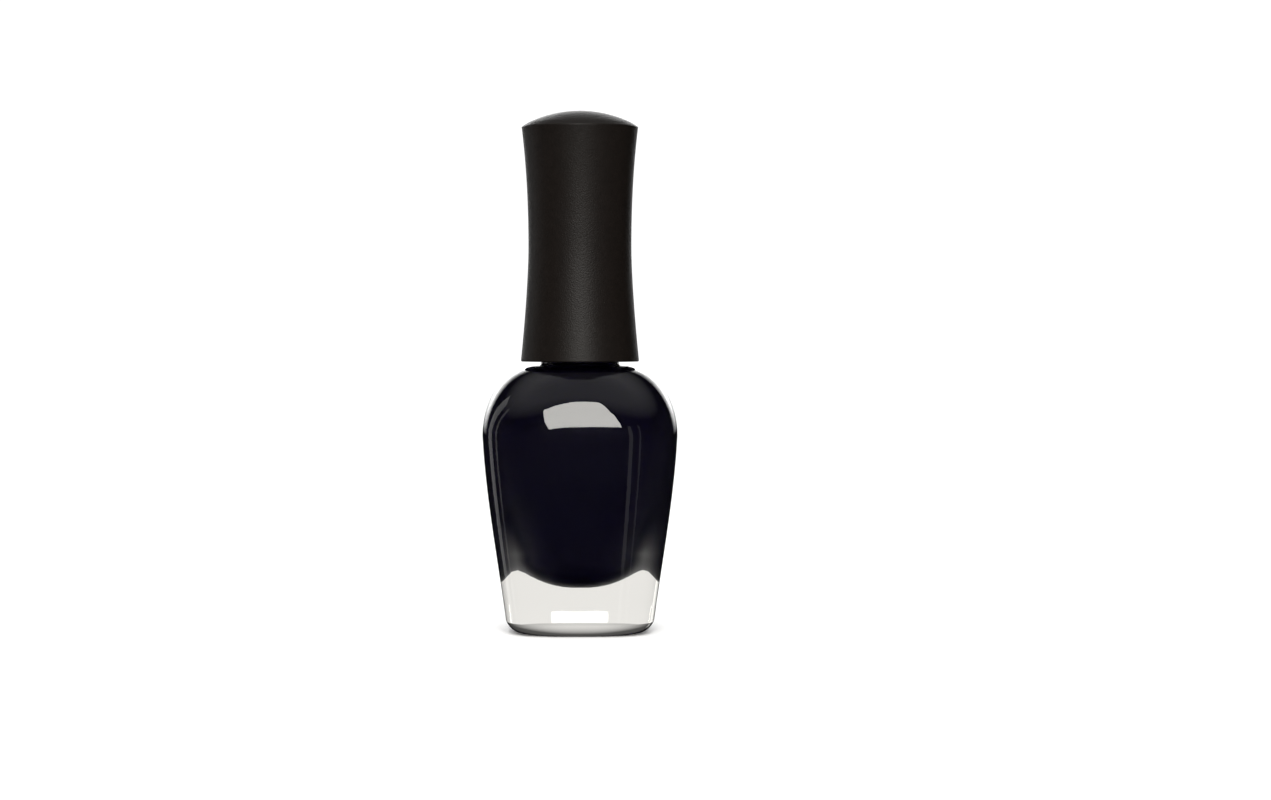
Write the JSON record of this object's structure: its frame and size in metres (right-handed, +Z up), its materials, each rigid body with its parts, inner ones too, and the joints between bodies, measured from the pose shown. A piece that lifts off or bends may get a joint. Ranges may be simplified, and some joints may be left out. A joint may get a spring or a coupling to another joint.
{
  "type": "nail polish bottle",
  "caption": "Closed nail polish bottle: soft square clear glass with a thick base, dark lacquer inside, and a tall waisted matt screw cap that carries the brush.",
  "frame": {"origin": "centre of the base, on the surface the bottle stands on", "axes": "+Z up along the bottle's axis, -Y towards the front face, +X to the right seen from the front"},
  "size_m": [0.0316, 0.0316, 0.0844],
  "materials": {
    "clear_glass": "polished clear",
    "navy_lacquer": "opaque liquid",
    "bright_steel": "polished",
    "soft_touch_black": "soft-touch matt",
    "white_moulding": "moulded satin",
    "washer_foam": "fine foam",
    "stem_plastic": "smooth moulded",
    "anchor_steel": "bright wire",
    "bristle_nylon": "fine filaments"
  },
  "bodies": {
    "bottle": {"glass_bottle": "clear_glass", "lacquer": "navy_lacquer"},
    "ball_left": {"mixing_ball_left": "bright_steel"},
    "ball_right": {"mixing_ball_right": "bright_steel"},
    "seal": {"seal_washer": "washer_foam"},
    "anchor": {"tuft_anchor": "anchor_steel"},
    "cap": {"cap_shell": "soft_touch_black", "inner_cap": "white_moulding", "brush_stem": "stem_plastic", "bristle_tuft": "bristle_nylon"}
  },
  "joints": [
    {"name": "cap_lift", "type": "slide", "parent": "bottle", "child": "seal", "axis": [0, 0, 1], "range_m": [0, 0.052]},
    {"name": "thread_rise", "type": "slide", "parent": "seal", "child": "anchor", "axis": [0, 0, 1], "range_m": [0, 0.00265]},
    {"name": "cap_turn", "type": "hinge", "parent": "anchor", "child": "cap", "pos_m": [0, 0, 0.05], "axis": [0, 0, 1], "range_deg": [0, 450]},
    {"name": "ball_left_roll", "type": "hinge", "parent": "bottle", "child": "ball_left", "pos_m": [0, 0, 0.011], "axis": [0, 0, 1], "range_deg": [-60, 60]},
    {"name": "ball_right_roll", "type": "hinge", "parent": "bottle", "child": "ball_right", "pos_m": [0, 0, 0.011], "axis": [0, 0, 1], "range_deg": [-60, 60]}
  ],
  "couplings": [
    {"joint": "thread_rise", "follows": "cap_turn", "m_per_rad": 0.00033693}
  ]
}
